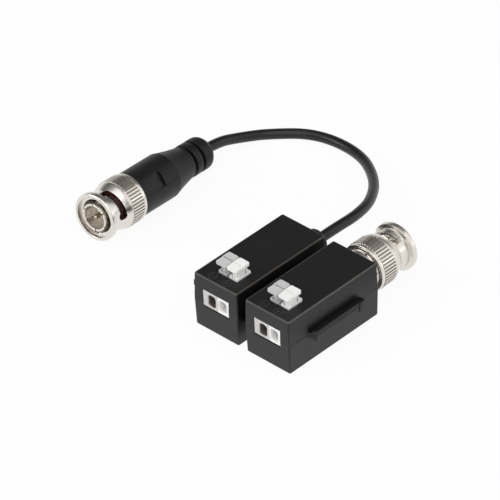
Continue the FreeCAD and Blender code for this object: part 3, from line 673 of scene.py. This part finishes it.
def round_cutter(radius, height, turn):
    """A pin that points outwards from the axis at a height, turned to an angle."""
    bpy.ops.object.select_all(action="DESELECT")
    bpy.ops.mesh.primitive_cylinder_add(vertices=48, radius=radius * MM,
                                        depth=pin_length * MM, location=(0, 0, 0))
    pin = bpy.context.object
    angle = math.radians(turn)
    way = Vector((math.cos(angle), math.sin(angle), 0))
    set_down(pin, Matrix.Translation(way * pin_middle * MM + Vector((0, 0, height * MM)))
             @ way.to_track_quat("Z", "Y").to_matrix().to_4x4())
    return pin


print("slot from", slot_start, "to", seat_centre, "mm behind the mouth")

# %% [markdown]
# The bottoms of the knurl's grooves get painted shade, a darker plate colour, after the edges
# are broken, because the bevel makes new faces, and only the floors are to be darker.

# %% Bayonet slots, broken edges and painted shade in the grooves
nut_edge, nut_sharp = 0.05, 38
groove_floor = (6.6, 6.8)
for half_turn in (0, 180):
    cutters = [block(cut_inside, groove_outside, -groove_half_width, groove_half_width,
                     -1, slot_centre),
               block(cut_inside, cut_outside, -neck_cut_half_width, neck_cut_half_width,
                     neck_cut_start, slot_centre),
               ramp_cutter(),
               round_cutter(slot_width / 2, slot_centre, 0),
               round_cutter(seat_radius, seat_centre, seat_turn)]
    for cutter in cutters:
        set_down(cutter, turned(half_turn))
    cut_with(nut, *cutters)
soften(nut, nut_edge, nut_sharp)
edit(nut)
pick(lambda middle, normal: knurl_start < middle.z < knurl_end and abs(normal.z) < 0.1
     and groove_floor[0] < from_axis(middle) < groove_floor[1])
paint_picked(nut, groove_painted_shade)
print("nut faces with teeth and slots:", len(nut.data.polygons))

# %% [markdown]
# ## Inside the plug
#
# Behind the nut's mouth stands a springy ferrule, slit six times so that it grips the jack.
# In it the waxy insulator carries the centre pin, and a dark red seal lies round its foot,
# which is what shows through the bayonet slot. All four are turned, and the two plugs
# differ only in how far back their barrels and pins reach.

# %% Ferrule, insulator, pin and seal
ferrule_back, flange_back = 9.25, 10.25
slit_count, slit_turn, slit_half_width, slit_end = 6, 22, 0.19, 5.0
slit_inside, slit_outside = 2.6, 4.6


def plug_body(tail):
    """Ferrule, flange and barrel in one turned piece; tail is where its barrel ends."""
    body = turn_on_lathe("plug_body", [
        (3.4, 0.12), (3.46, 0.03), (3.56, 0.0), (3.92, 0.0), (4.03, 0.04), (4.08, 0.16),
        (4.08, ferrule_back), (4.82, ferrule_back), (4.82, flange_back),
        (4.22, flange_back), (4.22, 11.93), (3.7, 11.93), (3.7, 12.66), (4.22, 12.66),
        (4.22, tail), (2.08, tail), (2.08, flange_back), (3.4, flange_back)],
        segments=120)
    for i in range(slit_count):
        slit = block(slit_inside, slit_outside, -slit_half_width, slit_half_width,
                     -1, slit_end)
        set_down(slit, turned(slit_turn + 360 / slit_count * i))
        cut_with(body, slit)
    soften(body, 0.03, segments=1)
    return body


def insulator(tail):
    """A wide disc inside the ferrule and a sleeve inside the barrel."""
    sleeve = turn_on_lathe("insulator", [
        (0.71, 4.6), (3.3, 4.6), (3.37, 4.67), (3.37, 10.22), (2.05, 10.22), (2.05, tail),
        (0.71, tail)], segments=64)
    smooth(sleeve)
    return sleeve


def centre_pin(end):
    """A pin with a rounded tip."""
    pin = turn_on_lathe("centre_pin", [
        (0.0, 0.2), (0.3, 0.22), (0.5, 0.42), (0.63, 0.7), (0.68, 1.0), (0.68, end),
        (0.0, end)], segments=32)
    smooth(pin)
    return pin


def seal():
    """A thick ring round the ferrule's foot."""
    ring = turn_on_lathe("seal", [
        (4.11, 6.3), (4.2, 6.22), (4.6, 6.22), (4.78, 6.3), (4.82, 6.45), (4.82, 9.1),
        (4.74, 9.22), (4.11, 9.22)], segments=96)
    smooth(ring)
    return ring


print("slits in the ferrule:", slit_count)

# %% [markdown]
# The nut is copied for each plug and turned to the angle that its slots have in the photo.
# On the pigtail's nut, whose slots face the camera, their walls get painted shade, a dark
# red-brown for the seal they reflect. Then everything is laid along its plug's axis.

# %% Both plugs
slot_wall_reach, slot_wall_span = (4.95, 5.7), (3.5, 6.5)


def paint_slot_shade(piece):
    """Painted shade on the slot walls of the pigtail's nut: a dark red-brown for the seal
    they reflect.
    """
    edit(piece)
    pick(lambda middle, normal:
         slot_wall_reach[0] < from_axis(middle) < slot_wall_reach[1]
         and slot_wall_span[0] < middle.z < slot_wall_span[1])
    paint_picked(piece, slot_painted_shade)


right_rim = Vector((housing_middle["right"], plug_rim_y, right_plug_height)) * MM
right_lie = Matrix.Translation(right_rim) @ Matrix.Rotation(math.radians(90), 4, "X")
# side, its body, its nut's body, lie, turn of the slots, end of barrel, end of pin
plugs = [
    ("pigtail", "module_left", "pigtail_nut_body", plug_lie, 271, 19.47, 19.47),
    ("right", "module_right", "right_nut_body", right_lie, 58, 19.2, 22.6)]
for side, body, nut_body, lie, slot_turn, tail, pin_end in plugs:
    turned_nut = twin(nut, side + "_nut_turned")
    if side == "pigtail":
        paint_slot_shade(turned_nut)
    set_down(turned_nut, lie @ turned(slot_turn))
    settle(turned_nut, side + "_nut_turned", nut_body, side + "_coupling_nut", "nickel")
    made = [("plug_body", plug_body(tail), "nickel"),
            ("insulator", insulator(tail), "dielectric"),
            ("centre_pin", centre_pin(pin_end), "gold_pin"),
            ("gasket", seal(), "seal_red")]
    for kind, piece, slot in made:
        node = side + "_" + kind
        set_down(piece, lie)
        settle(piece, node + "_turned", body, node, slot)
bpy.data.objects.remove(nut, do_unlink=True)
print("plugs dressed:", [side for side, *rest in plugs])

# %% [markdown]
# ## The boot
#
# The boot is moulded over the end of the cable. Its section is turned: a straight grip, a
# slightly hollow taper and a tail with two deep rings that let it flex. A finger panel is
# then sunk into the grip on two opposite sides. It starts flush in front, slopes inwards
# and ends in a step at its back, so the cutter is a wedge: a block whose lower front edge
# is lifted to the boot's surface.

# %% Boot
boot_radius, boot_tail_radius = 6.62, 4.8
boot_section = [
    (4.25, 14.2), (6.35, 14.2), (6.55, 14.26), (boot_radius, 14.42), (boot_radius, 27.8),
    (6.58, 28.1), (6.48, 28.4), (5.98, 30.3), (5.46, 32.5), (4.98, 34.9), (4.84, 35.6),
    (boot_tail_radius, 35.95), (boot_tail_radius, 36.38), (4.72, 36.5), (3.5, 36.56),
    (3.5, 37.44), (4.72, 37.5), (boot_tail_radius, 37.62), (boot_tail_radius, 39.68),
    (4.72, 39.8), (3.5, 39.86), (3.5, 40.74), (4.72, 40.8), (boot_tail_radius, 40.92),
    (boot_tail_radius, 43.0), (4.72, 43.6), (4.45, 44.2), (4.0, 44.75), (3.4, 45.08),
    (2.6, boot_end), (1.9, boot_end), (1.53, 45.05), (1.53, 28.0), (3.13, 28.0),
    (3.13, 19.5), (4.25, 19.5)]
panel_length, panel_width, panel_depth = 4.2, 4.5, 0.35
panel_back, panel_turns = 22.3, (-40, 140)
panel_floor = math.sqrt(boot_radius ** 2 - (panel_width / 2) ** 2) - panel_depth
wedge_reach = 9
boot = turn_on_lathe("boot_moulded", boot_section, segments=128)
for turn in panel_turns:
    wedge = block(panel_floor, wedge_reach, -panel_width / 2, panel_width / 2,
                  panel_back - panel_length, panel_back)
    edit(wedge)
    pick(lambda middle, way: abs(way.y) > 0.9 and middle.x < wedge_reach - 1
         and middle.z < panel_back - 0.1, "EDGE")
    bpy.ops.transform.translate(value=((boot_radius - panel_floor) * MM, 0, 0))
    leave()
    set_down(wedge, turned(turn))
    cut_with(boot, wedge)
soften(boot, 0.07, sharp=30)
set_down(boot, plug_lie)
settle(boot, "boot_moulded", "module_left", "boot", "boot_black")
print("boot faces:", len(boot.data.polygons))

# %% [markdown]
# ## Gland and collar
#
# Where the cable leaves the left housing sits a moulded gland, and the right plug's barrel
# sits in a collar. Both are turned forms that stand on a back wall, so they are spun about
# Z and then laid along Y.

# %% Gland and collar
along_y = Matrix.Rotation(math.radians(-90), 4, "X")
gland_foot = Vector((housing_middle["left"], back_wall_y, gland_height)) * MM
collar_foot = Vector((housing_middle["right"], back_wall_y, right_plug_height)) * MM
gland_lie = Matrix.Translation(gland_foot) @ along_y
collar_lie = Matrix.Translation(collar_foot) @ along_y
gland = turn_on_lathe("gland_moulded", [
    (1.53, -2.7), (3.5, -2.7), (3.5, -1.56), (2.6, -1.5), (2.6, 0.03), (3.45, 0.03),
    (3.5, 0.1), (3.5, 4.5), (3.42, 4.85), (3.2, 5.15), (2.9, 5.34), (2.5, 5.4),
    (1.7, 5.4), (1.53, 5.3)], segments=72)
smooth(gland, 30)
set_down(gland, gland_lie)
settle(gland, "gland_moulded", "module_left", "cable_gland", "boot_black")

collar = turn_on_lathe("collar_turned", [
    (4.25, -2.78), (5.8, -2.78), (5.8, -1.62), (4.9, -1.56), (4.9, 0.03), (5.85, 0.03),
    (5.9, 0.08), (5.9, 2.28), (5.85, 2.4), (4.3, 2.4)], segments=96)
smooth(collar, 30)
set_down(collar, collar_lie)
settle(collar, "collar_turned", "module_right", "rear_collar", "collar_black")
print("gland and collar stand on the wall at y =", round(back_wall_y, 2))

# %% [markdown]
# The photo shows the collar as bright plate with a small notch in its rim and a tiny hole
# beside it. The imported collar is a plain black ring, so a skin of 0.06 mm covers what is
# seen of it: a ring with an L-shaped section, cut by a block and by a pin.

# %% Plated skin on the collar
notch_turn, peephole_turn = -73, -15
peephole_radius, peephole_height = 0.22, 1.9
skin = turn_on_lathe("collar_skin", [
    (5.9, 0.12), (5.96, 0.12), (5.96, 2.38), (5.86, 2.46), (4.3, 2.46), (4.3, 2.4),
    (5.85, 2.4), (5.9, 2.28)], segments=96)
notch = block(5.0, 7.0, -0.35, 0.35, 1.75, 2.6)
set_down(notch, turned(notch_turn))
cut_with(skin, notch, round_cutter(peephole_radius, peephole_height, peephole_turn))
smooth(skin, 30)
set_down(skin, collar_lie)
skin.name = "collar_skin"
dress(skin, nickel)
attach(skin, "module_right")
print("skin faces:", len(skin.data.polygons))

# %% [markdown]
# ## Housings, poles and levers
#
# The two-part housings and the moulded terminal parts have their exact shape in the packed
# model already, but with knife edges and loose triangles. A copy of each is merged, its
# flat faces are joined up again, and then every edge is broken by a fraction of a
# millimetre. That is what moulded plastic does, and what catches the light in the photo.
#
# Three details are added to the copies. A fine groove along the side walls shows where the
# upper shell meets the lower one. The broken edges round each top get a painted highlight, a
# paler tan colour. And the grey poles' holes get painted shade a little way in, while the
# white ones stay light.

# %% Soft-edged copies
shell_edge, pole_edge, lever_edge = 0.22, 0.12, 0.22
side_wall, groove_half_reach = 9.75, 2
seam_from_y, seam_to_y, seam_low, seam_high = -25, 8.4, 8.8, 8.95


def moulded_copy(node, body, slot, width, finish=None, segments=2):
    """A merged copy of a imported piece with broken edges, in place of the piece."""
    piece = twin(nodes[node], node + "_moulded")
    edit(piece)
    bpy.ops.mesh.select_all(action="SELECT")
    bpy.ops.mesh.remove_doubles(threshold=0.001 * MM)
    bpy.ops.mesh.dissolve_limited(angle_limit=math.radians(1.5))
    leave()
    soften(piece, width, 30, segments)
    settle(piece, node + "_moulded", body, node, slot, finish)
    return piece


def seam_groove(shell, middle_x):
    """A fine groove along both side walls, where the upper shell stands on the lower one."""
    walls = [middle_x + side * side_wall for side in (-1, 1)]
    cut_with(shell, *[block(wall - groove_half_reach, wall + groove_half_reach,
                            seam_from_y, seam_to_y, seam_low, seam_high)
                      for wall in walls])


print("edges broken by", shell_edge, pole_edge, lever_edge, "mm")

# %% [markdown]
# The faces with painted highlight and painted shade are picked by place. A top edge lies near
# the top, leans between level and upright, and is close to one of the four walls. The hole's
# painted shade begins on a line that a bisect first draws round its wall, just behind the
# pole's face.

# %% Painted highlight on top edges and painted shade in holes
top_edge_from_z, top_edge_lean = 16.5, (0.15, 0.98)
top_edge_x, top_edge_front_y, top_edge_back_y = 7.2, -24.9, 8.2
pole_recess, throat_depth, throat_length = 0.2, 0.15, 4
grey_hole_x, hole_z = -1.55, 9.95
hole_half_width, hole_half_height = 1.3, 1.78


def paint_top_edge_highlight(shell, middle_x):
    """A painted highlight: a paler tone on the broken edges of a housing's top."""
    edit(shell)
    pick(lambda middle, normal: middle.z > top_edge_from_z
         and top_edge_lean[0] < normal.z < top_edge_lean[1]
         and (abs(middle.x - middle_x) > top_edge_x or middle.y < top_edge_front_y
              or middle.y > top_edge_back_y))
    paint_picked(shell, edge_painted_highlight)


def paint_hole_shade(pole, hole_x):
    """Painted shade: the grey pole's hole is coloured dark from a little behind its face."""
    throat_y = pole_recess + throat_depth + front_y
    edit(pole)
    bpy.ops.mesh.select_all(action="SELECT")
    bpy.ops.mesh.bisect(plane_co=(0, throat_y * MM, 0), plane_no=(0, 1, 0))
    pick(lambda middle, normal: throat_y < middle.y < throat_y + throat_length
         and abs(normal.y) < 0.5 and abs(middle.x - hole_x) < hole_half_width
         and abs(middle.z - hole_z) < hole_half_height)
    paint_picked(pole, hole_painted_shade)


for side, middle_x in housing_middle.items():
    body = "module_" + side
    for half in ("upper", "lower"):
        shell = moulded_copy("%s_%s_shell" % (side, half), body, "housing_black",
                             shell_edge)
        if half == "upper":
            seam_groove(shell, middle_x)
            paint_top_edge_highlight(shell, middle_x)
    for colour, pole_finish in (("grey", pole_grey), ("white", pole_white)):
        slot = "terminal_" + colour
        pole = moulded_copy("%s_%s_pole" % (side, colour), body, slot, pole_edge,
                            pole_finish)
        if colour == "grey":
            paint_hole_shade(pole, middle_x + grey_hole_x)
        lever = "%s_%s_lever" % (side, colour)
        moulded_copy(lever, lever + "_body", slot, lever_edge, segments=3)
copies = [o for o in bpy.data.objects if o.name.endswith("_moulded")]
print("pieces with broken edges:", len(copies))

# %% [markdown]
# ## Polarity marks
#
# Two small raised rings stand on each housing's top, in front of the levers: a minus and a
# plus that tell which wire goes where. They are of the housing's own plastic, a little
# paler than it, and so low that they show only as faint lines. Each is a turned ring joined
# with one bar or two.

# %% Plus and minus in their rings
mark_height, mark_foot = 0.07, -0.02
mark_from_front = 2.2
mark_places = {"minus": -2.7, "plus": 2.36}
bar_half_length, bar_half_width = 0.6, 0.09
for side, middle_x in housing_middle.items():
    for sign, x in mark_places.items():
        ring = turn_on_lathe("ring", [(1.12, mark_foot), (1.3, mark_foot),
                                      (1.27, mark_height), (1.15, mark_height)],
                             segments=48)
        bar = block(-bar_half_length, bar_half_length, -bar_half_width, bar_half_width,
                    mark_foot, mark_height)
        if sign == "plus":
            cut_with(bar, block(-bar_half_width, bar_half_width, -bar_half_length,
                                bar_half_length, mark_foot, mark_height),
                     operation="UNION")
        cut_with(ring, bar, operation="UNION")
        smooth(ring, 30)
        place = Vector((middle_x + x, mark_from_front + front_y, housing_height)) * MM
        set_down(ring, Matrix.Translation(place))
        ring.name = "%s_%s_mark" % (side, sign)
        dress(ring, mark_grey)
        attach(ring, "module_" + side)

# %% [markdown]
# ## Light and table
#
# The photo has a pure white surround, and black plastic that is lit mostly by it: the sides
# of the housings see the white table and shine, the tops see the dark room above and stay
# black. So the world is white to just above the horizon, nearly black about 40 degrees up
# and grey straight overhead, the table is white, and the lamps are large and soft.

# %% Sky
sky_levels = [(0.0, 0.95), (0.12, 0.95), (0.36, 0.2), (0.6, 0.07), (1.0, 0.4)]


def sky():
    """White for the camera; for light and reflections, white low down and dim above."""
    world = bpy.data.worlds.new("studio")
    bpy.context.scene.world = world
    world.use_nodes = True
    wiring = Wiring(world.node_tree)
    way = wiring.add("ShaderNodeTexCoord", {}, output="Generated")
    height = wiring.add("ShaderNodeSeparateXYZ", {}, way, output="Z")
    stops = [(position, grey(level)) for position, level in sky_levels]
    glow = wiring.add("ShaderNodeValToRGB", {"stops": stops}, height)
    seen = wiring.add("ShaderNodeLightPath", {}, output="Is Camera Ray")
    wiring.plug(wiring.blend(seen, glow, grey(1.0)),
                world.node_tree.nodes["Background"].inputs["Color"])


sky()
print("sky levels:", [level for position, level in sky_levels])

# %% [markdown]
# Four round lamps, 0.6 to 1.5 m across, stand about a metre away: a key from the front
# right, a fill from the front left, one from behind on the right for the far edges, and
# one above. All of them look at the middle of the object.

# %% Lamps
lamp_aim = Vector((-0.02, 0.0, 0.01))
# name, place, size, power
lamps = [("key", (0.55, -0.55, 0.75), 1.5, 6.2), ("fill", (-0.55, -0.56, 0.53), 0.6, 3.0),
         ("rim", (0.66, 0.63, 0.62), 1.2, 3.2), ("top", (0.1, -0.3, 1.0), 1.2, 3.0)]
for name, place, size, power in lamps:
    bpy.ops.object.light_add(type="AREA", location=place)
    lamp = bpy.context.object
    lamp.name = name
    lamp.data.shape = "DISK"
    lamp.data.size = size
    lamp.data.energy = power
    lamp.rotation_mode = "QUATERNION"
    lamp.rotation_quaternion = (lamp_aim - Vector(place)).to_track_quat("-Z", "Y")
bpy.context.scene.view_settings.view_transform = "Standard"

# %% [markdown]
# The table is two surfaces mixed. To the camera, and to the metal that mirrors it, it is
# mostly a plain white glow, and the small rest is a real surface that takes the object's
# shadow. It lies a hair below the object's feet, so that no two faces coincide.

# %% Table
table_size, table_z = 6, -0.00002
table_glow = 0.93


def table_top():
    """A white table: mostly its own white to camera and mirror, the rest takes shadow."""
    bpy.ops.mesh.primitive_plane_add(size=table_size, location=(0, 0, table_z))
    table = bpy.context.object
    table.name = "table_top"
    finish = Finish("table_white", Base_Color=grey(0.9), Roughness=0.8,
                    Specular_IOR_Level=0.1)
    camera_ray, mirror_ray, clear_ray = [
        finish.add("ShaderNodeLightPath", {}, output="Is %s Ray" % kind)
        for kind in ("Camera", "Glossy", "Transmission")]
    share = (camera_ray + mirror_ray + clear_ray) * table_glow
    glow = finish.add("ShaderNodeEmission", {}, grey(1.0))
    surface = finish.add("ShaderNodeMixShader", {}, share,
                         Value(finish, finish.shader.outputs[0]), glow)
    finish.plug(surface, finish.tree.nodes["Material Output"].inputs["Surface"])
    dress(table, finish.material)


table_top()
print("table glow:", table_glow)
